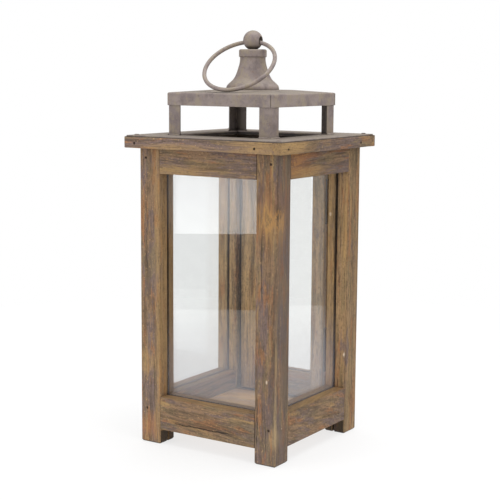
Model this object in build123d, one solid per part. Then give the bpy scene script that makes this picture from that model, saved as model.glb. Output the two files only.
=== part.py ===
from build123d import *
import math
import os

# ---------------------------------------------------------------- driving dimensions (mm)

# Wooden body: +Z up, origin at the centre of the square footprint, front towards -Y.
body_half = 79.0            # centre to the outer face of a post
post = 23.5                 # square corner post
post_round = 1.6            # rounded long edges of a post
foot_ease = 1.5             # chamfer under a foot
body_top = 305.0
foot = 15.0                 # underside of the bottom rails
bottom_rail_top = 48.0
top_rail_underside = 269.5
rail_setback = 0.4          # rails stand this far behind the posts' outer faces
rail_ease = 0.5
back_rail = 13.0            # height of the back sill and of the back head rail
floor_thick = 6.0

# Cornice strips, nailed round the top of the body.
cornice = 10.5              # how far the strips stand out
cornice_height = 11.0
cornice_ease = 0.7

# Glass and its grooves.
glass = 2.0
groove = 2.8
groove_depth = 6.0
groove_line = 13.5          # outer face of the body to the middle of the groove
glass_play = 0.5            # pane edge to groove bottom, except where the pane rests

# Door in the back face, hinged on the back right post.
hinge_gap = 6.1             # door edge to the post with the hinges
latch_gap = 3.6             # door edge to the post with the latch
door_low = 30.0
door_high = 290.0
door_inner = 59.7           # inner face of the door
door_thick = 17.5
hinge_stile = 14.5
latch_stile = 17.5
door_rail = 25.5
door_groove_depth = 5.0
stop_height = 8.0
stop_depth = 8.8
stop_play = 0.4             # closed door to its stop

# Butt hinges.
leaf = 1.2                  # leaf thickness
leaf_height = 46.0
leaf_width = 16.2
hinge_inset = 30.0          # door's end to the hinge
pin = 1.5                   # pin radius
pin_play = 0.05             # running clearance of the pin
knuckle_play = 0.4          # gap between neighbouring knuckles
leaf_play = 0.3             # leaf to the other leaf's knuckles
hinge_line = 80.9           # pin axis, towards the back
hinge_screw = 1.2
hinge_screw_head = 2.3
hinge_screw_length = 9.5
hinge_slot = 0.7            # width of the slot in a hinge screw's head
hinge_slot_depth = 0.6
hinge_screw_end = 9.2       # leaf's end to its screws
hinge_screw_back = 7.4      # leaf's knuckle side to its screws

# Turn-button latch on the back left post.
button_width = 8.0
button_long = 24.0          # pivot to the far end
button_short = 8.0
button_thick = 1.6
latch_play = 0.3
latch_height = 160.0
latch_screw = 1.6
latch_washer = 0.5
latch_screw_length = 14.0
latch_screw_head = 3.6
latch_screw_head_thick = 1.8
latch_screw_round = 1.2
latch_slot = 1.0            # width of the slot in its head
latch_slot_depth = 0.9

# Nails and dowels.
nail = 0.7
nail_head = 1.25
nail_head_thick = 0.8
nail_sink = 0.45            # head below the wood's surface
nail_length = 32.0
nail_inset = 7.5            # body's side to the frame nails
nail_low = 35.0
nail_high = 284.5
cornice_nail_length = 19.0
cornice_nail_end = 12.0
cornice_nail_far = 19.0
cornice_nail_drop = 6.3     # body top to the cornice nails
dowel = 3.0
dowel_length = 22.0
dowel_inset = 6.6           # rail's face to the dowel's axis
door_dowel = 2.5
hole_play = 0.02            # nails, screws and dowels in their holes

# Metal cap.
plate = 1.2
plate_half = 88.0
opening_half = 54.0         # vent opening of the base plate
lip = 2.6                   # turned down round the opening
cap_nail_at = 81.0
cap_nail_head = 2.2
cap_nail_head_thick = 1.0
cap_nail_round = 0.7
cap_nail_length = 11.0
lid_half = 59.7
lid_sheet = 1.0
lid_low = 334.9
lid_rim = 347.2
lid_round = 1.5
crown_top = 350.0
crown_half = 28.0
seam = 0.5                  # open corner seam of the lid
leg_width = 13.2
leg = 1.2

# Bell, collar, finial and carry ring.
bell_sheet = 1.0
bell_lip = 1.2              # upright rim at the bell's foot
bell_slope = 1.1            # rise over run where the flare leaves the shoulder
bell_base = 26.0            # outer radii of the bell, from its foot up
bell_shoulder = 24.2
bell_waist = 19.6
bell_throat = 14.2
bell_neck = 12.5
bell_shoulder_rise = 5.2    # heights of those radii above the bell's foot
bell_waist_rise = 9.5
bell_throat_rise = 21.3
bell_height = 31.6
collar = 13.6
collar_height = 7.6
collar_round = 1.6
collar_foot_round = 1.0
ball = 9.6
ball_rise = 8.7             # collar top to the ball's centre
ring_hole = 4.4
ring_hole_drop = 0.6        # ball centre to the cross hole's axis
ring_major = 35.4           # centre line of the ring
ring_wire = 2.0
ring_sag = 0.9              # hole axis to the wire's middle, where the ring hangs
ring_turn = 7.0             # degrees, the cross hole's direction from +X
ring_shift = -1.2           # how far the ring has slid along the hole
ring_lean = 40.4            # degrees below the horizontal, leaning on the lid
stud = 2.5
stud_low = 341.0
stud_bite = 2.4             # into the ball
finial_washer = 7.0
finial_washer_thick = 1.0
nut_flats = 8.0
nut_height = 4.0

# ---------------------------------------------------------------- worked-out values

inner = body_half - post                      # inner faces of posts and rails
glass_line = body_half - groove_line          # middle plane of a fixed pane
rail_face = body_half - rail_setback
floor_top = foot + back_rail
cornice_low = body_top - cornice_height
cornice_half = body_half + cornice
door_right = inner - hinge_gap                # door's edges, left and right of the middle plane
door_left = latch_gap - inner
door_outer = door_inner + door_thick
light_right = door_right - hinge_stile        # edges of the door's glass opening
light_left = door_left + latch_stile
door_glass_line = door_inner + door_thick / 2
hinge_x = inner - hinge_gap / 2
knuckle = hinge_gap / 2                       # outer radius, level with both leaves' outer faces
plate_top = body_top + plate
lid_inner = lid_half - lid_sheet
leaf_back = hinge_line - knuckle
collar_low = crown_top + bell_height
collar_top = collar_low + collar_height
ball_z = collar_top + ball_rise
ring_hole_z = ball_z - ring_hole_drop
latch_x = -(body_half - post / 2)

tolerance = 0.01                              # for picking edges by their height

SIDES = {"front": 0, "right": 90, "back": 180, "left": 270}    # turns about Z from the front
X, Y, Z = Vector(1, 0, 0), Vector(0, 1, 0), Vector(0, 0, 1)
nodes = {}


# ---------------------------------------------------------------- helpers

def block(x, y, z):
    """Box between a low and a high value on each axis."""
    middle = [(low + high) / 2 for low, high in (x, y, z)]
    return Pos(*middle) * Box(*[high - low for low, high in (x, y, z)])


def square_block(half, z):
    """Centred square prism."""
    return block((-half, half), (-half, half), z)


def rod(radius, start, direction, length):
    """Cylinder from a start point along a direction."""
    place = Plane(origin=start, z_dir=direction)
    return place * Cylinder(radius, length, align=(Align.CENTER, Align.CENTER, Align.MIN))


def turned(shape, degrees):
    """Shape turned about the lantern's vertical axis."""
    return Rot(0, 0, degrees) * shape


def four(shape):
    """The shape at all four sides of the lantern."""
    return [turned(shape, degrees) for degrees in SIDES.values()]


def group(shapes):
    """Separate solids that share one node."""
    return Compound(children=list(shapes))


def touches(shape, cutter):
    """Whether two shapes' boxes meet."""
    a, b = shape.bounding_box(), cutter.bounding_box()
    pairs = zip(tuple(a.min), tuple(a.max), tuple(b.min), tuple(b.max))
    return all(low_a < high_b and low_b < high_a for low_a, high_a, low_b, high_b in pairs)


def drilled(shape, cutters):
    """Shape with the holes of the fasteners that reach it."""
    for cutter in cutters:
        if touches(shape, cutter):
            shape = shape - cutter
    return shape


def eased(shape, axis, amount):
    """Shape with the edges along an axis slightly chamfered."""
    return chamfer(shape.edges().filter_by(axis), amount)


# ---------------------------------------------------------------- nails, dowels and their holes

def frame_nail(point, direction, length, play=0.0):
    """Sunk nail; with play it is the hole, open to the surface."""
    sunk = Vector(*point) + direction * nail_sink
    head_start = Vector(*point) if play else sunk
    head_length = nail_head_thick + (nail_sink if play else 0)
    head = rod(nail_head + play, head_start, direction, head_length)
    return head + rod(nail + play, sunk, direction, length - nail_sink)


def peg(radius, middle, direction, play=0.0):
    """Dowel half in each of two pieces; with play it is the hole."""
    start = Vector(*middle) - direction * (dowel_length / 2 + play)
    return rod(radius + play, start, direction, dowel_length + 2 * play)


def frame_nail_places():
    """Heads on the front and back faces, driven into the side rails' ends."""
    across = body_half - nail_inset
    for height in (nail_low, nail_high):
        for x in (-across, across):
            yield (x, -body_half, height), Y
            yield (x, body_half, height), -Y


def dowel_places():
    """Dowels in the ends of the front rails, the back sill and the back head rail."""
    front_line = dowel_inset - body_half
    back_line = inner + dowel_inset
    front = ((bottom_rail_top + foot) / 2, (top_rail_underside + body_top) / 2)
    back = (foot + back_rail / 2, body_top - back_rail / 2)
    for x in (-inner, inner):
        for height in front:
            yield (x, front_line, height)
        for height in back:
            yield (x, back_line, height)


def cornice_nails(play=0.0):
    """Two nails in each strip: one near its covering end, one near its covered end."""
    height = body_top - cornice_nail_drop
    ends = (-cornice_half + cornice_nail_end, body_half - cornice_nail_far)
    pair = [frame_nail((x, -cornice_half, height), Y, cornice_nail_length, play) for x in ends]
    return [one for nail_shape in pair for one in four(nail_shape)]


def cap_nail(play=0.0):
    """Round-headed nail at a corner of the base plate."""
    corner = Vector(-cap_nail_at, -cap_nail_at, plate_top)
    shank = rod(nail + play, corner, -Z, cap_nail_length)
    if play:
        return shank
    head = rod(cap_nail_head, corner, Z, cap_nail_head_thick)
    return fillet(head.edges().sort_by(Axis.Z)[-1], cap_nail_round) + shank


frame_nails = [frame_nail(at, way, nail_length) for at, way in frame_nail_places()]
wood_holes = [frame_nail(at, way, nail_length, hole_play) for at, way in frame_nail_places()]
wood_holes += [peg(dowel, at, X, hole_play) for at in dowel_places()]
wood_holes += cornice_nails(hole_play)
wood_holes += four(cap_nail(hole_play))

nodes["frame_nails"] = group(frame_nails)
nodes["frame_dowels"] = group(peg(dowel, at, X) for at in dowel_places())
nodes["cornice_nails"] = group(cornice_nails())
nodes["cap_nails"] = group(four(cap_nail()))


# ---------------------------------------------------------------- wooden body

def corner_post(side_x, side_y):
    """Post with a side-pane groove, and a front-pane groove on the front posts."""
    wood = square_block(post / 2, (0, body_top))
    wood = fillet(wood.edges().filter_by(Axis.Z), post_round)
    wood = chamfer(wood.faces().sort_by(Axis.Z)[0].edges(), foot_ease)
    wood = Pos(side_x * (inner + post / 2), side_y * (inner + post / 2), 0) * wood
    slot = sorted((side_x * inner, side_x * (inner + groove_depth)))
    line = side_x * glass_line
    side_slot = sorted((side_y * inner, side_y * (inner + groove_depth)))
    wood -= block((line - groove / 2, line + groove / 2), side_slot, (0, body_top))
    if side_y < 0:
        wood -= block(slot, (-glass_line - groove / 2, -glass_line + groove / 2), (0, body_top))
    return drilled(wood, wood_holes + hinge_screw_holes + latch_holes)


def rail(low, high, groove_at=None):
    """Front rail between the posts, with a glass groove in its lower or upper face."""
    wood = eased(block((-inner, inner), (-rail_face, -inner), (low, high)), Axis.X, rail_ease)
    if groove_at is not None:
        line = (-glass_line - groove / 2, -glass_line + groove / 2)
        wood -= block((-inner, inner), line, groove_at)
    return wood


def fixed_pane():
    """Front pane, resting on the groove's bottom in the bottom rail."""
    half = inner + groove_depth - glass_play
    low = bottom_rail_top - groove_depth
    high = top_rail_underside + groove_depth - glass_play
    return block((-half, half), (-glass_line - glass / 2, -glass_line + glass / 2), (low, high))


def cornice_strip():
    """Front strip: it covers the left strip's end, and the right strip covers its own."""
    wood = block((-cornice_half, body_half), (-cornice_half, -body_half), (cornice_low, body_top))
    return eased(wood, Axis.X, cornice_ease)


def post_leaf_screws(play=0.0):
    """Countersunk screws of one post leaf, their heads flush with the leaf; they point to +X."""
    for rise in (hinge_screw_end, leaf_height - hinge_screw_end):
        start = Vector(0, leaf_back - hinge_screw_back, rise)
        shank = rod(hinge_screw + play, start, X, hinge_screw_length)
        seat = Plane(origin=start + X * leaf / 2, z_dir=X)
        screw = shank + seat * Cone(hinge_screw_head + play, hinge_screw + play, leaf)
        if not play:
            across = (start.Y - hinge_screw_head, start.Y + hinge_screw_head)
            screw -= block((0, hinge_slot_depth), across, (rise - hinge_slot / 2, rise + hinge_slot / 2))
        yield screw


hinge_lows = {
    "upper": door_high - hinge_inset - leaf_height,
    "lower": door_low + hinge_inset,
}


def leaf_screws(door_side, play=0.0):
    """Screws of both hinges, through the leaves on the post or on the door."""
    face = inner - leaf
    for low in hinge_lows.values():
        for screw in post_leaf_screws(play):
            if door_side:
                flip = Plane.YZ.offset(hinge_x)
                yield (Pos(face, 0, low) * screw).mirror(flip)
            else:
                yield Pos(face, 0, low) * screw


hinge_screw_holes = list(leaf_screws(False, hole_play))
door_screw_holes = list(leaf_screws(True, hole_play))

latch_face = body_half + latch_washer + latch_play
latch_holes = [rod(latch_screw + hole_play, (latch_x, latch_face, latch_height), -Y, latch_screw_length)]

for name_y, side_y in (("front", -1), ("back", 1)):
    for name_x, side_x in (("left", -1), ("right", 1)):
        nodes[f"{name_y}_{name_x}_post"] = corner_post(side_x, side_y)

for side in ("front", "left", "right"):
    low_rail = rail(foot, bottom_rail_top, (bottom_rail_top - groove_depth, bottom_rail_top))
    high_rail = rail(top_rail_underside, body_top, (top_rail_underside, top_rail_underside + groove_depth))
    nodes[f"{side}_bottom_rail"] = drilled(turned(low_rail, SIDES[side]), wood_holes)
    nodes[f"{side}_top_rail"] = drilled(turned(high_rail, SIDES[side]), wood_holes)
    nodes[f"{side}_glass"] = turned(fixed_pane(), SIDES[side])

nodes["back_sill"] = drilled(turned(rail(foot, floor_top), SIDES["back"]), wood_holes)
nodes["back_head_rail"] = drilled(turned(rail(body_top - back_rail, body_top), SIDES["back"]), wood_holes)

for side, degrees in SIDES.items():
    nodes[f"{side}_cornice"] = drilled(turned(cornice_strip(), degrees), wood_holes)

nodes["floor_board"] = square_block(inner, (floor_top - floor_thick, floor_top))

stop_back = door_inner - stop_play
stop_top = body_top - back_rail
nodes["door_stop"] = block(
    (door_left, door_right), (stop_back - stop_depth, stop_back), (stop_top - stop_height, stop_top))


# ---------------------------------------------------------------- door

light_low = door_low + door_rail
light_high = door_high - door_rail


def door_piece(x, z, groove_x, groove_z):
    """Door frame member with its glass groove."""
    wood = block(x, (door_inner, door_outer), z)
    wood = eased(wood, Axis.Z if z[1] - z[0] > x[1] - x[0] else Axis.X, rail_ease)
    line = (door_glass_line - groove / 2, door_glass_line + groove / 2)
    return wood - block(groove_x, line, groove_z)


def door_dowel_places():
    """Dowels between the door's stiles and rails."""
    for x in (light_left, light_right):
        for height in (door_low + door_rail / 2, door_high - door_rail / 2):
            yield (x, door_glass_line, height)


door_holes = [peg(door_dowel, at, X, hole_play) for at in door_dowel_places()] + door_screw_holes
full_height = (door_low, door_high)
glass_span = (light_low - door_groove_depth, light_high + door_groove_depth)
right_slot = (light_right, light_right + door_groove_depth)
left_slot = (light_left - door_groove_depth, light_left)
latch_side = door_piece((door_left, light_left), full_height, left_slot, glass_span)
hinge_side = door_piece((light_right, door_right), full_height, right_slot, glass_span)
rail_span = (light_left, light_right)
low_door_rail = door_piece(rail_span, (door_low, light_low), rail_span, (glass_span[0], light_low))
high_door_rail = door_piece(rail_span, (light_high, door_high), rail_span, (light_high, glass_span[1]))

nodes["door_latch_stile"] = drilled(latch_side, door_holes)
nodes["door_hinge_stile"] = drilled(hinge_side, door_holes)
nodes["door_bottom_rail"] = drilled(low_door_rail, door_holes)
nodes["door_top_rail"] = drilled(high_door_rail, door_holes)
nodes["door_dowels"] = group(peg(door_dowel, at, X) for at in door_dowel_places())

nodes["door_glass"] = block(
    (left_slot[0] + glass_play, right_slot[1] - glass_play),
    (door_glass_line - glass / 2, door_glass_line + glass / 2),
    (glass_span[0], glass_span[1] - glass_play))


# ---------------------------------------------------------------- hinges

def hinge_leaf(low, on_door):
    """Leaf flat on the wood, with its knuckles round the pin: two on the post's, one on the door's."""
    third = leaf_height / 3
    spans = [(third, 2 * third)] if on_door else [(0, third), (2 * third, leaf_height)]
    face = (inner - leaf, inner)
    if on_door:
        face = (door_right, door_right + leaf)
    flat_back = leaf_back - leaf_play
    metal = block(face, (leaf_back - leaf_width, flat_back), (low, low + leaf_height))
    for start, end in spans:
        trim_low = knuckle_play / 2 if start > 0 else 0
        trim_high = knuckle_play / 2 if end < leaf_height else 0
        span = (low + start + trim_low, low + end - trim_high)
        metal += block(face, (flat_back, hinge_line), span)
        metal += rod(knuckle, (hinge_x, hinge_line, span[0]), Z, span[1] - span[0])
    metal -= rod(pin + pin_play, (hinge_x, hinge_line, low), Z, leaf_height)
    return drilled(metal, door_screw_holes if on_door else hinge_screw_holes)


for name, low in hinge_lows.items():
    nodes[f"{name}_hinge_post_leaf"] = hinge_leaf(low, False)
    nodes[f"{name}_hinge_door_leaf"] = hinge_leaf(low, True)
    nodes[f"{name}_hinge_pin"] = rod(pin, (hinge_x, hinge_line, low), Z, leaf_height)

nodes["hinge_post_screws"] = group(leaf_screws(False))
nodes["hinge_door_screws"] = group(leaf_screws(True))


# ---------------------------------------------------------------- latch

button_front = latch_face + button_thick
button_half = button_width / 2
arm_low = latch_height - button_long + button_half
arm_high = latch_height + button_short - button_half
button = block((latch_x - button_half, latch_x + button_half), (latch_face, button_front), (arm_low, arm_high))
for end in (arm_low, arm_high):
    button += rod(button_half, (latch_x, latch_face, end), Y, button_thick)
button -= rod(latch_screw + pin_play, (latch_x, latch_face, latch_height), Y, button_thick)
nodes["latch_button"] = button

washer_start = (latch_x, body_half, latch_height)
nodes["latch_washer"] = rod(button_half, washer_start, Y, latch_washer) - rod(
    latch_screw + hole_play, washer_start, Y, latch_washer)

screw_head_start = Vector(latch_x, button_front + latch_play, latch_height)
screw_head = rod(latch_screw_head, screw_head_start, Y, latch_screw_head_thick)
screw_head = fillet(screw_head.edges().sort_by(Axis.Y)[-1], latch_screw_round)
screw_top = screw_head_start.Y + latch_screw_head_thick
screw_head -= block(
    (latch_x - latch_screw_head, latch_x + latch_screw_head),
    (screw_top - latch_slot_depth, screw_top),
    (latch_height - latch_slot / 2, latch_height + latch_slot / 2))
shank_length = screw_head_start.Y - latch_face + latch_screw_length
nodes["latch_screw"] = screw_head + rod(latch_screw, screw_head_start, -Y, shank_length)


# ---------------------------------------------------------------- metal cap

cap_plate = square_block(plate_half, (body_top, plate_top))
cap_plate += square_block(opening_half + plate, (body_top - lip, body_top))
cap_plate -= square_block(opening_half, (body_top - lip, plate_top))
nodes["cap_plate"] = drilled(cap_plate, four(cap_nail(hole_play)))

leg_outer = (-lid_inner, -lid_inner + leg)
leg_span = (-lid_inner, -lid_inner + leg_width)
leg_z = (plate_top, lid_rim - lid_sheet)
leg_shape = block(leg_outer, leg_span, leg_z) + block(leg_span, leg_outer, leg_z)
for name, degrees in zip(("front_left", "front_right", "back_right", "back_left"), SIDES.values()):
    nodes[f"cap_leg_{name}"] = turned(leg_shape, degrees)


def lid_solid(half, low, rim, crown):
    """Square box with a low four-sided crown."""
    base = Plane.XY.offset(rim) * Rectangle(2 * half, 2 * half)
    top = Plane.XY.offset(crown) * Rectangle(2 * crown_half, 2 * crown_half)
    return square_block(half, (low, rim)) + loft([base, top])


lid_outer = lid_solid(lid_half, lid_low, lid_rim, crown_top)
rim_edges = lid_outer.edges().filter_by_position(Axis.Z, lid_rim - tolerance, lid_rim + tolerance)
lid_outer = fillet(rim_edges, lid_round)
lid = lid_outer - lid_solid(lid_inner, lid_low, lid_rim - lid_sheet, crown_top - lid_sheet)
seam_cut = block((-lid_half, -lid_inner), (-lid_inner, -lid_inner + seam), (lid_low, lid_rim - lid_sheet))
for cut in four(seam_cut):
    lid -= cut
nodes["roof_lid"] = lid - rod(stud + hole_play, (0, 0, lid_low), Z, crown_top - lid_low)


# ---------------------------------------------------------------- bell, collar, finial

def bell_solid(inset):
    """Bell turned from its flared outline, its radii reduced by the inset."""
    foot_point = (bell_base - inset, crown_top)
    lip_point = (bell_base - inset, crown_top + bell_lip)
    shoulder = (bell_shoulder - inset, crown_top + bell_shoulder_rise)
    neck = (bell_neck - inset, collar_low)
    with BuildPart() as bell_part:
        with BuildSketch(Plane.XZ):
            with BuildLine():
                Polyline((0, collar_low), (0, crown_top), foot_point, lip_point)
                TangentArc(lip_point, shoulder, tangent=(0, 1))
                Spline(
                    shoulder,
                    (bell_waist - inset, crown_top + bell_waist_rise),
                    (bell_throat - inset, crown_top + bell_throat_rise),
                    neck,
                    tangents=((-1, bell_slope), (0, 1)))
                Line(neck, (0, collar_low))
            make_face()
        revolve(axis=Axis.Z)
    return bell_part.part


nodes["bell"] = bell_solid(0) - bell_solid(bell_sheet)

collar_shape = rod(collar, (0, 0, collar_low), Z, collar_height)
collar_rims = collar_shape.edges().filter_by(GeomType.CIRCLE).sort_by(Axis.Z)
collar_shape = fillet(collar_rims[-1], collar_round)
collar_shape = fillet(collar_shape.edges().sort_by(Axis.Z)[0], collar_foot_round)
nodes["bell_collar"] = collar_shape - rod(stud + hole_play, (0, 0, collar_low), Z, collar_height)

turn = math.radians(ring_turn)
lean = math.radians(ring_lean)
hole_way = Vector(math.cos(turn), math.sin(turn), 0)
hang_way = Vector(math.sin(turn), -math.cos(turn), 0) * math.cos(lean) - Z * math.sin(lean)
hole_centre = Vector(0, 0, ring_hole_z)

finial = Pos(0, 0, ball_z) * Sphere(ball)
finial -= square_block(ball, (ball_z - ball, collar_top))
finial -= rod(ring_hole, hole_centre - hole_way * ball, hole_way, 2 * ball)
finial -= rod(stud + hole_play, (0, 0, collar_top), Z, stud_bite)
nodes["finial_ball"] = finial

nodes["finial_stud"] = rod(stud, (0, 0, stud_low), Z, collar_top + stud_bite - stud_low)
lid_under = crown_top - lid_sheet
washer_low = lid_under - finial_washer_thick
nodes["finial_washer"] = rod(finial_washer, (0, 0, washer_low), Z, finial_washer_thick) - rod(
    stud + hole_play, (0, 0, washer_low), Z, finial_washer_thick)
nut_outline = Plane.XY.offset(washer_low - nut_height) * RegularPolygon(nut_flats / 2, 6, major_radius=False)
nodes["finial_nut"] = extrude(nut_outline, nut_height) - rod(
    stud + hole_play, (0, 0, washer_low - nut_height), Z, nut_height)


# ---------------------------------------------------------------- carry ring

wire_middle = hole_centre - Z * ring_sag + hole_way * ring_shift
ring_centre = wire_middle + hang_way * ring_major
ring_plane = Plane(origin=ring_centre, x_dir=hole_way, z_dir=hole_way.cross(hang_way))
nodes["carry_ring"] = ring_plane * Torus(ring_major, ring_wire)


# ---------------------------------------------------------------- files

os.makedirs("parts", exist_ok=True)
for name, shape in nodes.items():
    export_step(shape, f"parts/{name}.step")
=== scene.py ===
import math

import bmesh
import bpy
from mathutils import Matrix, Vector, noise


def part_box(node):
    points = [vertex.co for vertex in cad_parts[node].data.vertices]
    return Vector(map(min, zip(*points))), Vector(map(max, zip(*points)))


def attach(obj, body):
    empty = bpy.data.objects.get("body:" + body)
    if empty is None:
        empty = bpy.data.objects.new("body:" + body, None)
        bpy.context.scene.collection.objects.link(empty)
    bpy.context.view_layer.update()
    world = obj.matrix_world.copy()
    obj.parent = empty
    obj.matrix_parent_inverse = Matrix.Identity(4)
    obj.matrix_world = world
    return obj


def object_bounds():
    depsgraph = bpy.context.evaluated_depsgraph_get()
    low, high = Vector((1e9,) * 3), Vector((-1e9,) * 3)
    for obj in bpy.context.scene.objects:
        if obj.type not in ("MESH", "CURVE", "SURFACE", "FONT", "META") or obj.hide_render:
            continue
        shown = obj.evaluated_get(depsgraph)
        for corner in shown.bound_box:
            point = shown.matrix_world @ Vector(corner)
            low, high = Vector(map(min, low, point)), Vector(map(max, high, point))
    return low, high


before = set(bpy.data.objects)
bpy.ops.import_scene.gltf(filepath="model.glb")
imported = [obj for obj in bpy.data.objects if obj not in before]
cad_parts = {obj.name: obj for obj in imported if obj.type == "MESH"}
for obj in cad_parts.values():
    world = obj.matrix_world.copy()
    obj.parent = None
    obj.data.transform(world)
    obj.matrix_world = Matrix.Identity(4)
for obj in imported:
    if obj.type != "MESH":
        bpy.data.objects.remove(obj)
cad_low, cad_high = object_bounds()

MM = 0.001
X, Y, Z = 0, 1, 2
WHITE = (1.0, 1.0, 1.0, 1.0)
INNER_REACH = 60.0          # mm from the middle line to the walls, roughly


# ---------------------------------------------------------------- node helpers

def tint(red, green, blue):
    """A display colour, 0 to 255, as the linear colour that a shader takes."""
    linear = []
    for value in (red, green, blue):
        share = value / 255
        linear.append(share / 12.92 if share <= 0.04045 else ((share + 0.055) / 1.055) ** 2.4)
    return (*linear, 1.0)


def put(links, value, socket):
    """Links an output to the socket, or sets the socket to a plain value."""
    if isinstance(value, bpy.types.NodeSocket):
        links.new(value, socket)
    else:
        socket.default_value = value


class Tree:
    """One material's nodes. Each method adds nodes and returns an output."""

    def __init__(self, name):
        self.material = bpy.data.materials.new(name)
        self.material.use_nodes = True
        self.nodes = self.material.node_tree.nodes
        self.links = self.material.node_tree.links
        self.shader = self.nodes["Principled BSDF"]
        self.surface = self.nodes["Material Output"].inputs["Surface"]

    def put(self, value, socket):
        put(self.links, value, socket)

    def place(self):
        """The point on the piece at rest, in millimetres."""
        found = self.nodes.new("ShaderNodeTexCoord").outputs["Object"]
        return self.vector("MULTIPLY", found, (1 / MM,) * 3)

    def vector(self, operation, first, second=(0, 0, 0)):
        node = self.nodes.new("ShaderNodeVectorMath")
        node.operation = operation
        self.put(first, node.inputs[0])
        self.put(second, node.inputs[1])
        return node.outputs["Value" if operation in ("LENGTH", "DOT_PRODUCT") else "Vector"]

    def math(self, operation, first, second=0.0):
        node = self.nodes.new("ShaderNodeMath")
        node.operation = operation
        self.put(first, node.inputs[0])
        self.put(second, node.inputs[1])
        return node.outputs[0]

    def plus(self, first, second):
        return self.math("ADD", first, second)

    def minus(self, first, second):
        return self.math("SUBTRACT", first, second)

    def times(self, first, second):
        return self.math("MULTIPLY", first, second)

    def split(self, place):
        node = self.nodes.new("ShaderNodeSeparateXYZ")
        self.put(place, node.inputs[0])
        return list(node.outputs)

    def joined(self, x, y, z):
        node = self.nodes.new("ShaderNodeCombineXYZ")
        for value, socket in zip((x, y, z), node.inputs):
            self.put(value, socket)
        return node.outputs[0]

    def noise(self, place, detail=3.0, roughness=0.55, scale=1.0, output="Fac"):
        node = self.nodes.new("ShaderNodeTexNoise")
        self.put(place, node.inputs["Vector"])
        self.put(scale, node.inputs["Scale"])
        self.put(detail, node.inputs["Detail"])
        self.put(roughness, node.inputs["Roughness"])
        return node.outputs[output]

    def ease(self, value, start, end, first=0.0, last=1.0):
        """first where value is start, last where it is end, with soft ends."""
        node = self.nodes.new("ShaderNodeMapRange")
        node.interpolation_type = "SMOOTHSTEP"
        for given, name in ((value, "Value"), (start, "From Min"), (end, "From Max"),
                            (first, "To Min"), (last, "To Max")):
            self.put(given, node.inputs[name])
        return node.outputs[0]

    def mix(self, share, first, second, way="MIX"):
        node = self.nodes.new("ShaderNodeMix")
        node.data_type = "RGBA"
        node.blend_type = way
        self.put(share, node.inputs[0])
        self.put(first, node.inputs[6])
        self.put(second, node.inputs[7])
        return node.outputs[2]

    def layers(self, colour, rows):
        """Colours laid over colour, stains in some rows and painted shade in others. Each row is (pattern,
        start, end, share at start, share at end, stain), where stain is the colour laid on.
        """
        for *pattern, stain in rows:
            colour = self.mix(self.ease(*pattern), colour, stain)
        return colour

    def bump(self, height, depth, normal=None):
        """A normal from a height between 0 and 1 that stands for depth in metres."""
        node = self.nodes.new("ShaderNodeBump")
        self.put(height, node.inputs["Height"])
        node.inputs["Distance"].default_value = depth
        if normal is not None:
            self.put(normal, node.inputs["Normal"])
        return node.outputs[0]

    def shade(self, reach):
        """1 in the open and less in corners that are narrower than reach, in metres."""
        node = self.nodes.new("ShaderNodeAmbientOcclusion")
        node.samples = 6
        node.inputs["Distance"].default_value = reach
        return node.outputs["AO"]

    def geometry(self, output):
        return self.nodes.new("ShaderNodeNewGeometry").outputs[output]

    def upward(self):
        """1 on faces that look up, 0 on walls."""
        return self.split(self.geometry("Normal"))[Z]

    def inward(self):
        """1 on faces that look towards the object's middle line, 0 on the others."""
        point = self.vector("MULTIPLY", self.place(), (-1 / INNER_REACH, -1 / INNER_REACH, 0.0))
        facing = self.nodes.new("ShaderNodeTexCoord").outputs["Normal"]
        return self.ease(self.vector("DOT_PRODUCT", point, facing), 0.3, 0.6)

    def finish(self, colour, roughness, normal, **fixed):
        """The material, with the given inputs and fixed values on its shader."""
        self.put(colour, self.shader.inputs["Base Color"])
        self.put(roughness, self.shader.inputs["Roughness"])
        self.put(normal, self.shader.inputs["Normal"])
        for name, value in fixed.items():
            self.shader.inputs[name.replace("_", " ")].default_value = value
        return self.material


# ---------------------------------------------------------------- places on a node

def inside_box(node, shares):
    """The point of a node's box at these shares of its length, width and height, in millimetres."""
    low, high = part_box(node)
    return tuple((a + (b - a) * share) / MM for a, b, share in zip(low, high, shares))


def level(node, share):
    """The height of a share of a node's box, in millimetres."""
    return inside_box(node, (0.5, 0.5, share))[Z]


def edge_distance(tree, place, node):
    """Millimetres from the nearest edge of the node's box."""
    middle = inside_box(node, (0.5, 0.5, 0.5))
    half = [b - a for a, b in zip(middle, inside_box(node, (1.0, 1.0, 1.0)))]
    from_middle = tree.vector("ABSOLUTE", tree.vector("SUBTRACT", place, middle))
    x, y, z = tree.split(tree.vector("SUBTRACT", half, from_middle))
    wider = tree.math("MAXIMUM", x, y)
    return tree.math("MAXIMUM", tree.math("MINIMUM", x, y), tree.math("MINIMUM", wider, z))


def ragged_distance(tree, place, node, shares, size, ragged):
    """How far the place is from a point of the node's box, in sizes, plus a ragged pattern."""
    away = tree.vector("SUBTRACT", place, inside_box(node, shares))
    return tree.plus(tree.vector("LENGTH", tree.vector("DIVIDE", away, size)), ragged)


# ---------------------------------------------------------------- wood

DEEP = tint(84, 69, 54)
BROWN = tint(145, 117, 91)
HONEY = tint(182, 148, 104)
PLUM_GREY = tint(118, 101, 98)
MOSS = tint(132, 116, 84)
GOLD = tint(176, 142, 92)
PALE = tint(196, 168, 124)
RUST = tint(164, 112, 72)
AMBER = tint(186, 136, 78)
CHIP = tint(232, 214, 190)
SLATE = tint(82, 75, 72)
# The next two: a dark brown for cracks and for painted shade in corners, and a near black for painted
# shadow and shade.
DARK_CRACK_AND_SHADE = tint(34, 27, 22)
SHADOW_BLACK = tint(20, 17, 15)

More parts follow.
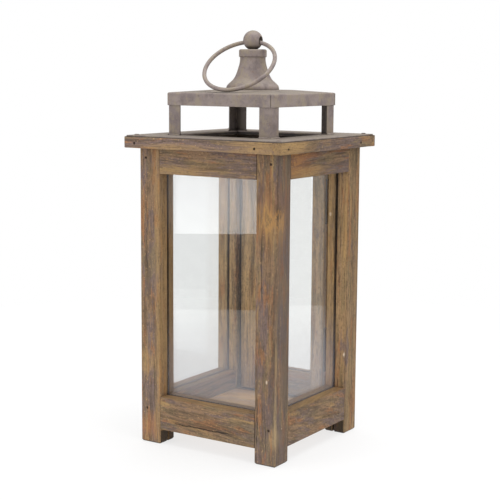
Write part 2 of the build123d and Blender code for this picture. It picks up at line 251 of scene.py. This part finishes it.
SEED_STEP = (131.7, 57.3, 211.9)        # mm between the patterns of two boards
GRAIN_BEND = 9.0                        # mm that the grain wanders
GRAIN_RELIEF = 0.0009                   # m
WOOD_CORNER_SHADE = 0.004                     # m, width of the painted shade in corners
KNOT_RINGS = 6.5
TOP_SHADE_FROM = level("back_head_rail", 1.0) - 26.0     # mm, from here up the inner faces darken with painted shade under the vent
TOP_SHADE_FADE = 14.0
UNDERSIDE = level("front_bottom_rail", 0.0)         # mm, the insides of the feet get painted shadow below it

# Streaks: 1/across mm wide and 1/along mm long, detail, roughness, and how far the pattern is shifted.
STREAKS = {
    "cool": (0.05, 0.014, 5.0, 0.66, 0.0),
    "moss": (0.10, 0.022, 5.0, 0.68, 123.0),
    "warm": (0.12, 0.020, 5.0, 0.68, 57.0),
    "yellow": (0.15, 0.012, 5.0, 0.68, 319.0),
    "shadow": (0.17, 0.011, 5.0, 0.70, 211.0),
    "band": (0.30, 0.005, 3.0, 0.6, 0.0),
    "fibre": (0.95, 0.05, 4.0, 0.75, 0.0),
}


def stretched(tree, place, axis, across, along):
    """place scaled so that a pattern of size 1 is 1/across wide and 1/along long."""
    scale = [across] * 3
    scale[axis] = along
    return tree.vector("MULTIPLY", place, scale)


def grain_place(tree, place, axis, seed, tilt):
    """place moved to one board's own stretch of pattern, with its grain tilted and wandering."""
    moved = tree.vector("ADD", place, tuple(seed * step for step in SEED_STEP))
    if tilt:
        lean = tree.times(tree.split(place)[axis], tilt)
        moved = tree.vector("ADD", moved, tree.joined(*[0.0 if i == axis else lean for i in range(3)]))
    bend = tree.noise(stretched(tree, moved, axis, 0.03, 0.012), detail=1.0, roughness=0.5, output="Color")
    bend = tree.vector("SUBTRACT", bend, (0.5, 0.5, 0.5))
    return tree.vector("ADD", moved, tree.vector("MULTIPLY", bend, (GRAIN_BEND,) * 3))


def grain_patterns(tree, place, moved, axis):
    """The streaks and the grit of a board, by name, each about 0 to 1."""
    patterns = {}
    for name, (across, along, detail, roughness, shift) in STREAKS.items():
        shifted = tree.vector("ADD", moved, (shift,) * 3) if shift else moved
        patterns[name] = tree.noise(stretched(tree, shifted, axis, across, along), detail, roughness)
    patterns["grit"] = tree.noise(stretched(tree, place, axis, 0.55, 0.38), 4.0, 0.85)
    return patterns


def stained(tree, seen, grey, gold, rust, bare):
    """The board's colour: brown stain over honey wood, streaked with greys, golds and rust."""
    cool, warm, yellow = 0.62 - 0.22 * grey, 0.58 - 0.12 * rust, 0.62 - 0.14 * gold
    return tree.layers(tree.mix(bare, BROWN, HONEY), [
        (seen["cool"], cool, cool + 0.08, 0.0, 0.9, PLUM_GREY),
        (seen["moss"], 0.50, 0.60, 0.0, 0.55, MOSS),
        (seen["warm"], warm, warm + 0.10, 0.0, 0.75, RUST),
        (seen["yellow"], yellow, yellow + 0.10, 0.0, 0.7, GOLD),
        (seen["band"], 0.36, 0.56, 0.4, 0.0, DEEP),
        (seen["shadow"], 0.50, 0.66, 0.0, 0.7, DEEP),
        (seen["fibre"], 0.36, 0.47, 0.75, 0.0, DEEP),
        (seen["fibre"], 0.53, 0.68, 0.0, 0.5, GOLD),
        (seen["grit"], 0.35, 0.46, 0.75, 0.0, DEEP),
        (seen["grit"], 0.55, 0.70, 0.0, 0.5, RUST),
        (seen["grit"], 0.59, 0.70, 0.0, 0.9, PALE),
    ])


def marked(tree, colour, place, node, seen, marks, knots):
    """Ragged stains, painted shadows and curly knots at their places on the board."""
    ragged = tree.plus(tree.times(seen["grit"], 2.6), tree.times(seen["yellow"], 4.0))
    rough = tree.plus(seen["grit"], seen["fibre"])
    for shares, size, stain, strength in marks:
        field = ragged_distance(tree, place, node, shares, size, ragged)
        speckle = tree.ease(rough, 0.8, 1.15, 0.4, 1.0)
        colour = tree.mix(tree.times(tree.ease(field, 3.7, 4.9, strength, 0.0), speckle), colour, stain)
    for shares, size in knots:
        field = ragged_distance(tree, place, node, shares, size, ragged)
        curl = tree.math("SINE", tree.times(field, KNOT_RINGS))
        speckle = tree.ease(rough, 0.8, 1.2, 0.25, 1.0)
        reach = tree.times(tree.ease(field, 3.7, 5.0, 0.95, 0.0), speckle)
        colour = tree.mix(tree.times(reach, tree.ease(curl, -0.4, 0.5)), colour, AMBER)
        colour = tree.mix(tree.times(reach, tree.ease(curl, -0.5, -0.95, 0.0, 0.8)), colour, DEEP)
    return colour


def weathered_and_shaded(tree, colour, place, moved, node, axis):
    """Golden tops, chipped edges, painted shade in corners and on the inward faces near the top and the
    feet, and a painted shadow line along the cornice tops.
    """
    top = tree.ease(tree.upward(), 0.6, 0.95)
    colour = tree.mix(tree.times(top, 0.35), colour, GOLD)
    chips = tree.times(tree.noise(stretched(tree, moved, axis, 0.09, 0.04), 5.0, 0.7), 8.5)
    from_edge = tree.plus(edge_distance(tree, place, node), chips)
    colour = tree.layers(colour, [
        (from_edge, 2.2, 4.2, 0.6, 0.0, PALE),
        # painted shade in corners and gaps
        (tree.shade(WOOD_CORNER_SHADE), 0.1, 0.7, 0.85, 0.0, DARK_CRACK_AND_SHADE),
    ])
    height = tree.split(place)[Z]
    # Painted shade on the inner faces under the vent, and painted shadow on the insides of the feet below
    # the bottom rail.
    for start, end, first, last in ((TOP_SHADE_FROM, TOP_SHADE_FROM + TOP_SHADE_FADE, 0.0, 0.9),
                                    (UNDERSIDE - 3.0, UNDERSIDE + 1.0, 0.85, 0.0)):
        dark = tree.times(tree.inward(), tree.ease(height, start, end, first, last))
        colour = tree.mix(dark, colour, SHADOW_BLACK)
    # A painted shadow line along the top of each cornice, under the edge of the cap plate.
    if "cornice" in node:
        top_edge = level(node, 1.0)
        colour = tree.layers(colour, [(height, top_edge - 0.45, top_edge - 0.25, 0.0, 0.8, SHADOW_BLACK)])
    return colour


def crack_mask(tree, place, node, axis, up, at, start, end, width):
    """1 on a dark split that wanders along the grain.

    It is at a share of the box along the axis up, from the share start to the share end along the grain,
    and at most twice width wide, in millimetres.
    """
    parts = tree.split(place)
    at_point, start_point, end_point = (inside_box(node, (share,) * 3) for share in (at, start, end))
    wander = tree.noise(stretched(tree, place, axis, 0.0, 0.06), detail=2.0)
    wander = tree.times(tree.minus(wander, 0.5), 5.0)
    off = tree.minus(tree.minus(parts[up], at_point[up]), wander)
    from_start = tree.minus(parts[axis], start_point[axis])
    from_end = tree.minus(end_point[axis], parts[axis])
    opening = tree.times(tree.ease(tree.math("MINIMUM", from_start, from_end), 0.0, 14.0), width)
    return tree.math("LESS_THAN", tree.math("ABSOLUTE", off), opening)


def wood(node, axis, seed, grey=0.5, gold=0.5, rust=0.5, tilt=0.0, light=1.0, inner=None, bare=0.0,
         marks=(), cracks=(), knots=()):
    """Weathered brown stain over softwood with its grain along axis.

    grey, gold and rust say how much of each streak shows, and bare how much honey wood shows through.
    tilt leans the grain. light brightens the board, and inner only its faces that look inwards: partly the
    board's own tone, partly painted light that lifts the fronts and the insides and dims the right-hand
    faces.
    marks, cracks and knots are rows for marked() and crack_mask(), placed by shares of the board's box.
    """
    tree = Tree("wood_" + node)
    place = tree.place()
    moved = grain_place(tree, place, axis, seed, tilt)
    seen = grain_patterns(tree, place, moved, axis)
    colour = stained(tree, seen, grey, gold, rust, bare)
    colour = marked(tree, colour, place, node, seen, marks, knots)
    colour = weathered_and_shaded(tree, colour, place, moved, node, axis)
    relief = tree.plus(tree.times(seen["fibre"], 0.5), tree.times(seen["grit"], 0.5))
    for crack in cracks:
        split = crack_mask(tree, place, node, axis, *crack)
        colour = tree.mix(tree.times(split, 0.85), colour, DARK_CRACK_AND_SHADE)
        relief = tree.minus(relief, split)
    # Painted light, partly the board's own tone: the whole board, and apart from it its inward faces, made
    # brighter or darker.
    tone_and_painted_light = tree.ease(tree.inward(), 0.0, 1.0, light, light if inner is None else inner)
    colour = tree.mix(1.0, colour, tone_and_painted_light, "MULTIPLY")
    roughness = tree.ease(seen["fibre"], 0.2, 0.8, 0.74, 0.56)
    return tree.finish(colour, roughness, tree.bump(relief, GRAIN_RELIEF), Specular_IOR_Level=0.25)


# ---------------------------------------------------------------- metal

TAUPE = tint(156, 142, 136)
PLUM = tint(130, 117, 115)
OLIVE = tint(156, 142, 121)
DUST = tint(176, 162, 144)
SILT = tint(136, 128, 113)
CHARCOAL = tint(76, 70, 67)
SHADE = tint(116, 104, 101)
FRECKLE = tint(134, 106, 86)

PAINT_SEED_STEP = (71.3, 37.9, 113.1)   # mm between the patterns of two pieces
PAINT_CORNER_SHADE = 0.006                    # m, width of the painted shade in corners
PAINT_RELIEF = 0.0004                   # m
WORN_EDGE = 0.0007                      # m
SHADOW_LINE_FADE = 0.25                        # mm


def worn_edges(tree):
    """A normal that rounds the edges off, and 1 on those edges, 0 elsewhere."""
    soft = tree.nodes.new("ShaderNodeBevel")
    soft.samples = 4
    soft.inputs["Radius"].default_value = WORN_EDGE
    turn = tree.vector("DOT_PRODUCT", soft.outputs[0], tree.geometry("Normal"))
    return soft.outputs[0], tree.ease(turn, 0.99, 0.8)


def painted(name, seed, bare_inside=False, line=None):
    """Matte taupe paint over steel: cloudy, dusty on top, pitted, scratched and rubbed at its edges, with
    painted shade in its corners.

    bare_inside darkens the faces that look inwards, and line is a height, in millimetres, below which
    the piece is painted nearly black as a shadow line.
    """
    tree = Tree(name)
    place = tree.place()
    moved = tree.vector("ADD", place, tuple(seed * step for step in PAINT_SEED_STEP))

    def pattern(scale, detail, roughness):
        return tree.noise(tree.vector("MULTIPLY", moved, scale), detail, roughness)

    cloud = pattern((0.035, 0.035, 0.05), 5.0, 0.65)
    stain = pattern((0.10, 0.10, 0.06), 6.0, 0.7)
    grain = pattern((1.4, 1.4, 1.4), 3.0, 0.7)
    pits = pattern((0.42, 0.42, 0.42), 4.0, 0.75)
    freckles = pattern((0.16, 0.16, 0.16), 6.0, 0.8)
    scuffs = tree.math("ABSOLUTE", tree.minus(pattern((0.035, 0.26, 0.10), 5.0, 0.6), 0.5))
    scratch = tree.times(tree.ease(scuffs, 0.0, 0.007, 0.5, 0.0), tree.ease(freckles, 0.46, 0.54))
    colour = tree.layers(tree.mix(tree.ease(cloud, 0.38, 0.62), PLUM, TAUPE), [
        (stain, 0.47, 0.62, 0.0, 0.85, OLIVE),
        (tree.upward(), 0.5, 1.0, 0.0, 0.6, SILT),
        (stain, 0.46, 0.32, 0.0, 0.75, SHADE),
        (freckles, 0.57, 0.68, 0.0, 0.65, FRECKLE),
        (grain, 0.3, 0.7, 0.3, 0.0, PLUM),
        (pits, 0.62, 0.70, 0.0, 0.65, CHARCOAL),
        (pits, 0.36, 0.28, 0.0, 0.6, DUST),
    ])
    colour = tree.mix(scratch, colour, DUST)
    # painted shade in the corners
    colour = tree.layers(colour, [(tree.shade(PAINT_CORNER_SHADE), 0.2, 0.85, 0.7, 0.0, DARK_CRACK_AND_SHADE)])
    if bare_inside:
        chipped = tree.plus(tree.inward(), tree.times(stain, 0.6))
        colour = tree.layers(colour, [(chipped, 0.95, 1.1, 0.0, 0.75, CHARCOAL)])
    # A painted shadow line along the foot of the piece.
    if line is not None:
        colour = tree.layers(colour, [(tree.split(place)[Z], line, line + SHADOW_LINE_FADE, 0.85, 0.0, SHADOW_BLACK)])
    rounded, edge = worn_edges(tree)
    colour = tree.mix(tree.times(edge, tree.ease(stain, 0.35, 0.6, 0.2, 0.9)), colour, DUST)
    roughness = tree.ease(stain, 0.2, 0.8, 0.68, 0.44)
    relief = tree.plus(tree.times(grain, 0.5), tree.ease(pits, 0.7, 0.6, 0.0, 0.5))
    normal = tree.bump(relief, PAINT_RELIEF, rounded)
    return tree.finish(colour, roughness, normal, Metallic=0.0, Specular_IOR_Level=0.4)


def bare_steel(name, body, glint, scale, roughness, metallic):
    """Blackened or plain steel with blotches of two colours, 1/scale mm wide, and rubbed spots, with
    painted shade in its corners.
    """
    tree = Tree(name)
    place = tree.place()
    blotch = tree.noise(place, detail=4.0, roughness=0.65, scale=scale)
    grit = tree.noise(place, detail=2.0, roughness=0.6, scale=scale * 7.0)
    colour = tree.mix(tree.ease(blotch, 0.35, 0.7), body, glint)
    # painted shade in the corners
    colour = tree.layers(colour, [(tree.shade(0.003), 0.2, 0.9, 0.6, 0.0, DARK_CRACK_AND_SHADE)])
    rough = tree.ease(grit, 0.2, 0.8, roughness - 0.1, roughness + 0.14)
    return tree.finish(colour, rough, tree.bump(grit, 0.0002), Metallic=metallic)


# ---------------------------------------------------------------- glass

GLASS_IOR = 1.5
DUST_AND_WASH_FILM = tint(217, 215, 224)
DUSTY_RIM = 9.0             # mm


def pane(node, passed, head_wash):
    """Sheet glass that lets a share of the light through, dusty at its rim, with a pale film at its foot
    and head that is partly dust and partly a painted reflection wash.
    """
    tree = Tree("sheet_" + node)
    place = tree.place()
    film = tree.noise(place, detail=5.0, roughness=0.7, scale=0.05)
    height = tree.split(place)[Z]
    rim = tree.ease(edge_distance(tree, place, node), 0.0, DUSTY_RIM, 0.03, 0.0)
    # The bands at the foot and head: partly dust, partly a painted reflection wash.
    low = tree.ease(height, level(node, 0.075), level(node, 0.45), 0.11, 0.0)
    high = tree.ease(height, level(node, 0.625), level(node, 1.0), 0.0, head_wash)
    dust_and_wash = tree.plus(tree.plus(rim, tree.ease(film, 0.4, 0.8, 0.0, 0.02)), tree.plus(low, high))

    clear = tree.nodes.new("ShaderNodeBsdfTransparent")
    clear.inputs["Color"].default_value = (passed - 0.002, passed + 0.003, passed, 1.0)
    shine = tree.nodes.new("ShaderNodeBsdfGlossy")
    shine.inputs["Color"].default_value = WHITE
    tree.put(tree.ease(film, 0.3, 0.8, 0.0, 0.03), shine.inputs["Roughness"])
    fresnel = tree.nodes.new("ShaderNodeFresnel")
    leaving = tree.geometry("Backfacing")
    tree.put(tree.ease(leaving, 0.0, 1.0, GLASS_IOR, 1 / GLASS_IOR), fresnel.inputs["IOR"])
    powder = tree.nodes.new("ShaderNodeBsdfDiffuse")
    powder.inputs["Color"].default_value = DUST_AND_WASH_FILM

    shown = clear.outputs[0]
    for share, over in ((fresnel.outputs[0], shine), (dust_and_wash, powder)):
        both = tree.nodes.new("ShaderNodeMixShader")
        for value, socket in zip((share, shown, over.outputs[0]), both.inputs):
            tree.put(value, socket)
        shown = both.outputs[0]
    tree.nodes.remove(tree.shader)
    tree.put(shown, tree.surface)
    return tree.material


# ---------------------------------------------------------------- materials onto the frame

def dress(nodes, material):
    for node in nodes:
        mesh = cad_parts[node].data
        mesh.materials.clear()
        mesh.materials.append(material)


ALL_ALONG = 500.0           # mm, a mark that runs the length of a post

# The looks of each wooden piece: the axis of its grain, its seed, and what wood() takes.
# A mark is (place, reach in mm, stain, strength), and the near-black marks beside the door are painted
# shadow;
# a knot is (place, reach in mm), and a crack is (axis up, share up, first share along, last share along,
# half its width in mm).
WOODEN = {
    "front_left_post": (Z, 1, dict(
        grey=0.7, gold=0.5, rust=0.6, light=1.08,
        marks=[((0.2, 0.0, 0.05), (16.0, 16.0, 12.0), RUST, 0.7),
               ((0.3, 0.0, 0.27), (12.0, 14.0, 9.0), GOLD, 0.6),
               ((1.0, 0.5, 0.5), (5.0, 40.0, ALL_ALONG), GOLD, 0.55)],
        cracks=[(X, 0.35, 0.55, 0.8, 0.25), (X, 0.7, 0.1, 0.3, 0.25)])),
    "front_right_post": (Z, 2, dict(
        grey=0.8, gold=0.35, rust=0.6,
        marks=[((1.0, 0.0, 0.775), (22.0, 22.0, 26.0), RUST, 0.6),
               ((0.8, 0.0, 0.765), (16.0, 16.0, 12.0), GOLD, 0.8),
               ((1.0, 0.2, 0.74), (9.0, 9.0, 16.0), GOLD, 0.6),
               ((1.0, 0.1, 0.79), (3.0, 5.0, 7.0), DARK_CRACK_AND_SHADE, 0.8),
               ((1.0, 0.0, 0.09), (6.0, 6.0, 9.0), PALE, 0.7),
               ((1.0, 0.75, 0.5), (5.0, 22.0, ALL_ALONG), SLATE, 0.6),
               ((1.0, 0.0, 0.8), (1.2, 1.2, 55.0), DARK_CRACK_AND_SHADE, 0.5),
               ((1.0, 0.0, 0.2), (1.4, 1.4, 60.0), PALE, 0.6),
               ((0.57, 0.0, 0.266), (0.6, 0.6, 1.2), CHIP, 1.0),
               ((1.0, 0.47, 0.117), (0.6, 0.6, 1.2), CHIP, 1.0)],
        cracks=[(X, 0.14, 0.04, 0.22, 0.35), (X, 0.55, 0.03, 0.15, 0.3), (X, 0.3, 0.5, 0.72, 0.25)],
        knots=[((0.85, 0.0, 0.765), (14.0, 14.0, 10.0))])),
    "back_right_post": (Z, 3, dict(
        grey=0.2, gold=0.7, light=0.85, inner=1.3, bare=0.5,
        marks=[((0.0, 0.5, 0.5), (5.0, 60.0, ALL_ALONG), GOLD, 0.5),
               ((0.14, 0.0, 0.74), (0.7, 0.7, 1.3), CHIP, 1.0),
               ((0.9, 0.0, 0.272), (1.0, 1.0, 2.2), CHIP, 1.0)])),
    "back_left_post": (Z, 4, dict(
        grey=0.0, gold=0.7, light=1.3, bare=0.9,
        # a painted shadow on the face beside the door gap
        marks=[((1.0, 0.6, 0.5), (2.5, 11.0, ALL_ALONG), SHADOW_BLACK, 0.9)])),
    "front_top_rail": (X, 5, dict(
        grey=1.0, gold=0.45, rust=0.3, light=1.06,
        marks=[((0.18, 0.0, 0.1), (40.0, 14.0, 6.0), GOLD, 0.7)])),
    "left_top_rail": (Y, 6, dict()),
    "right_top_rail": (Y, 7, dict(
        grey=0.9, gold=0.4, light=0.88,
        marks=[((1.0, 0.12, 0.6), (16.0, 24.0, 16.0), RUST, 0.9),
               ((1.0, 0.3, 0.1), (14.0, 26.0, 6.0), GOLD, 0.8)],
        knots=[((1.0, 0.0, 0.6), (12.0, 22.0, 14.0))])),
    "front_bottom_rail": (X, 8, dict(
        grey=0.6, gold=0.5, tilt=0.06, light=1.03, cracks=[(Z, 0.27, 0.12, 0.78, 0.6)])),
    "left_bottom_rail": (Y, 9, dict()),
    "right_bottom_rail": (Y, 10, dict(grey=0.7, gold=0.5, tilt=0.16, light=0.92)),
    "back_sill": (X, 11, dict()),
    "back_head_rail": (X, 12, dict()),
    "front_cornice": (X, 13, dict(
        grey=1.45, gold=0.2, rust=0.15, light=1.15,
        marks=[((0.93, 0.0, 0.3), (30.0, 14.0, 8.0), GOLD, 0.7),
               ((0.35, 0.0, 0.0), (40.0, 14.0, 5.0), GOLD, 0.6)])),
    "right_cornice": (Y, 14, dict(
        grey=0.8, gold=0.6, rust=0.3, light=0.97,
        marks=[((1.0, 0.08, 0.5), (14.0, 24.0, 9.0), GOLD, 0.95)])),
    "back_cornice": (X, 15, dict()),
    "left_cornice": (Y, 16, dict()),
    "floor_board": (X, 17, dict(grey=0.9, gold=0.1, light=2.35, bare=0.5)),
    "door_stop": (X, 18, dict()),
    "door_hinge_stile": (Z, 19, dict(grey=0.3, gold=0.6, light=1.2, bare=0.8)),
    "door_latch_stile": (Z, 20, dict(
        grey=0.0, gold=0.8, light=1.35, bare=1.0,
        # a painted shadow on the edge that faces the gap to the post
        marks=[((0.0, 0.4, 0.5), (2.0, 10.0, ALL_ALONG), SHADOW_BLACK, 0.9)])),
    "door_top_rail": (X, 21, dict(bare=0.3)),
    "door_bottom_rail": (X, 22, dict(bare=0.5)),
    "door_dowels": (X, 23, dict(gold=1.0, bare=1.0)),
    "frame_dowels": (X, 24, dict(gold=1.0, bare=1.0)),
}

# The share of light that each pane lets through, and the strength of the pale film at its head, partly
# haze and partly a painted reflection wash.
PANES = {
    "front_glass": (0.962, 0.10),
    "left_glass": (0.967, 0.02),
    "right_glass": (0.997, 0.0),
    "door_glass": (0.967, 0.02),
}

PAINTED = [
    "cap_plate", "cap_leg_front_left", "cap_leg_front_right", "cap_leg_back_right", "cap_leg_back_left",
    "roof_lid", "bell", "bell_collar", "finial_ball", "carry_ring", "cap_nails",
]
PLATE_SHADOW_LINE = 2.7            # mm, height of the painted shadow line round the plate's foot
WELD_SEED = 31

# The steel that isn't painted: body colour, glint, pattern scale, roughness, metallic, and its nodes.
STEELS = {
    "black_steel": (tint(30, 27, 23), tint(54, 47, 39), 0.12, 0.55, 0.4, [
        "upper_hinge_post_leaf", "lower_hinge_post_leaf", "upper_hinge_door_leaf", "lower_hinge_door_leaf",
        "upper_hinge_pin", "lower_hinge_pin", "hinge_post_screws", "hinge_door_screws", "latch_button"]),
    "nail_iron": (tint(50, 40, 34), tint(86, 70, 58), 0.4, 0.6, 0.7, ["frame_nails", "cornice_nails"]),
    "dull_zinc": (tint(128, 124, 118), tint(168, 164, 156), 0.2, 0.45, 0.9, [
        "latch_washer", "latch_screw", "finial_stud", "finial_washer", "finial_nut"]),
}


def dress_frame():
    """Gives every CAD node its material."""
    for node, (axis, seed, looks) in WOODEN.items():
        dress([node], wood(node, axis, seed, **looks))
    for node, (passed, head_wash) in PANES.items():
        dress([node], pane(node, passed, head_wash))
    for seed, node in enumerate(PAINTED, start=1):
        line = level(node, 0.0) + PLATE_SHADOW_LINE if node == "cap_plate" else None
        dress([node], painted("paint_" + node, seed, bare_inside=node.startswith("cap_leg"), line=line))
    for name, (*looks, nodes) in STEELS.items():
        dress(nodes, bare_steel(name, *looks))


# ---------------------------------------------------------------- added pieces

BEAD = 1.4 * MM             # radius of a weld bead
BEAD_STEP = 0.6 * MM
BEAD_SIDES = 10
LUMPS = 0.5                 # how much the bead's radius varies
LUMPS_PER_METRE = 700.0


def tube(shape, points, radii, sides):
    """A closed tube of changing radius along points."""
    rings = []
    turns = [2 * math.pi * k / sides for k in range(sides)]
    for i, (point, radius) in enumerate(zip(points, radii)):
        along = (points[min(i + 1, len(points) - 1)] - points[max(i - 1, 0)]).normalized()
        across = along.orthogonal().normalized()
        other = along.cross(across)
        around = [across * math.cos(turn) + other * math.sin(turn) for turn in turns]
        rings.append([shape.verts.new(point + radius * way) for way in around])
    for first, second in zip(rings, rings[1:]):
        for k in range(sides):
            n = (k + 1) % sides
            shape.faces.new((first[k], first[n], second[n], second[k]))
    shape.faces.new(reversed(rings[0]))
    shape.faces.new(rings[-1])


def new_object(name, shape):
    """A mesh object in the scene, made from a bmesh, which is used up."""
    mesh = bpy.data.meshes.new(name)
    shape.to_mesh(mesh)
    shape.free()
    made = bpy.data.objects.new(name, mesh)
    bpy.context.scene.collection.objects.link(made)
    return made


def new_piece(name, shape, material, body):
    """A smooth piece that rides on a body and takes its finish from the given material."""
    bmesh.ops.recalc_face_normals(shape, faces=shape.faces)
    piece = new_object(name, shape)
    piece.data.polygons.foreach_set("use_smooth", [True] * len(piece.data.polygons))
    piece.data.materials.append(material)
    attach(piece, body)


def outer_corner(side_y, side_x):
    """The foot of a cap leg's outer faces, from end to end round its corner."""
    low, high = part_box(f"cap_leg_{side_y}_{side_x}")
    outer_x, inner_x = (low.x, high.x) if side_x == "left" else (high.x, low.x)
    outer_y, inner_y = (low.y, high.y) if side_y == "front" else (high.y, low.y)
    return [Vector(stop) for stop in (
        (inner_x, outer_y, low.z), (outer_x, outer_y, low.z), (outer_x, inner_y, low.z))]


def weld_beads():
    """Lumpy beads where the legs of the cap stand on its plate."""
    shape = bmesh.new()
    for side_y in ("front", "back"):
        for side_x in ("left", "right"):
            stops = outer_corner(side_y, side_x)
            points = []
            for start, end in zip(stops, stops[1:]):
                count = int((end - start).length / BEAD_STEP)
                points += [start.lerp(end, k / count) for k in range(count)]
            points.append(stops[-1])
            radii = [BEAD * (1.0 + LUMPS * noise.noise(point * LUMPS_PER_METRE)) for point in points]
            tube(shape, points, radii, BEAD_SIDES)
    new_piece("weld_beads", shape, painted("paint_weld_beads", WELD_SEED), "root")


# ---------------------------------------------------------------- stage

TABLE_RADIUS = 0.77
TABLE_GLOW = 0.74           # keeps the table near white under the soft light
WORLD_LIGHT = 0.6           # the strength of the white world, and what glossy and camera rays see of it
WORLD_GLOSS = 0.3
WORLD_SEEN = 1.0

# Softboxes: where each stands, what it looks at, its width and height in metres, and its watts.
SOFTBOXES = {
    "key": ((-0.90, -1.30, 0.52), (-0.05, -0.06, 0.30), (0.8, 1.05), 6.8),
    "top": ((0.1, 0.1, 1.7), (0.0, 0.0, 0.2), (1.6, 1.6), 23.0),
    "fill": ((1.5, -0.35, 0.9), (0.0, 0.0, 0.2), (0.9, 0.9), 6.2),
    "rear": ((0.95, 1.45, 0.05), (0.08, 0.0, 0.2), (1.0, 1.0), 1.0),
}

CAMERA_TURN = 33.022        # degrees round from the front, up from level, and leaning over
CAMERA_LIFT = 8.329
CAMERA_ROLL = 0.381
CAMERA_DISTANCE = 1.2356
CAMERA_AIM = 0.19066        # height of the point it looks at, and how far left of the middle line that is
CAMERA_AIM_LEFT = 0.00154
LENS = 88.77                # mm, for a sensor 36 mm wide


def stage_table():
    """A round pale table, wide enough for the object and its shadow."""
    shape = bmesh.new()
    bmesh.ops.create_circle(shape, cap_ends=True, segments=96, radius=TABLE_RADIUS)
    table = new_object("table", shape)
    table.location.z = cad_low.z
    tree = Tree("table_top")
    soft = tree.noise(tree.place(), detail=2.0, scale=0.01)
    colour = tree.mix(soft, (0.21, 0.21, 0.21, 1.0), (0.23, 0.23, 0.23, 1.0))
    tree.shader.inputs["Emission Color"].default_value = WHITE
    top = tree.finish(colour, 0.8, tree.bump(soft, 0.0001), Emission_Strength=TABLE_GLOW)
    table.data.materials.append(top)


def softbox(name, at, aim, size, power):
    data = bpy.data.lights.new(name, "AREA")
    data.shape = "RECTANGLE"
    data.size, data.size_y = size
    data.energy = power
    light = bpy.data.objects.new(name, data)
    light.location = at
    light.rotation_mode = "QUATERNION"
    light.rotation_quaternion = (Vector(aim) - Vector(at)).to_track_quat("-Z", "Y")
    bpy.context.scene.collection.objects.link(light)


def studio():
    """Softboxes in a white world that is dimmer as a light and in reflections than to the camera."""
    world = bpy.data.worlds.new("studio")
    bpy.context.scene.world = world
    world.use_nodes = True
    nodes, links = world.node_tree.nodes, world.node_tree.links
    white = nodes["Background"]
    white.inputs["Color"].default_value = WHITE
    path = nodes.new("ShaderNodeLightPath")
    strength = WORLD_LIGHT
    for ray, value in (("Is Glossy Ray", WORLD_GLOSS), ("Is Camera Ray", WORLD_SEEN)):
        choice = nodes.new("ShaderNodeMapRange")
        put(links, path.outputs[ray], choice.inputs["Value"])
        put(links, strength, choice.inputs["To Min"])
        put(links, value, choice.inputs["To Max"])
        strength = choice.outputs[0]
    put(links, strength, white.inputs["Strength"])
    for name, looks in SOFTBOXES.items():
        softbox(name, *looks)
    bpy.context.scene.view_settings.view_transform = "Standard"


def camera():
    """Stands a little above the roof, to the right of the front."""
    turn, lift, roll = (math.radians(angle) for angle in (CAMERA_TURN, CAMERA_LIFT, CAMERA_ROLL))
    back = Vector((math.sin(turn) * math.cos(lift), -math.cos(turn) * math.cos(lift), math.sin(lift)))
    right = Vector((math.cos(turn), math.sin(turn), 0.0))
    above = back.cross(right)
    tipped_right = right * math.cos(roll) + above * math.sin(roll)
    tipped_above = above * math.cos(roll) - right * math.sin(roll)
    data = bpy.data.cameras.new("camera")
    data.sensor_width = 36.0
    data.lens = LENS
    data.clip_start = 0.05
    eye = bpy.data.objects.new("camera", data)
    target = Vector((0.0, 0.0, CAMERA_AIM)) - right * CAMERA_AIM_LEFT
    axes = Matrix((tipped_right, tipped_above, back)).transposed()
    eye.matrix_world = Matrix.Translation(target + back * CAMERA_DISTANCE) @ axes.to_4x4()
    bpy.context.scene.collection.objects.link(eye)
    bpy.context.scene.camera = eye


# ---------------------------------------------------------------- the whole

dress_frame()
weld_beads()
stage_table()
studio()
camera()
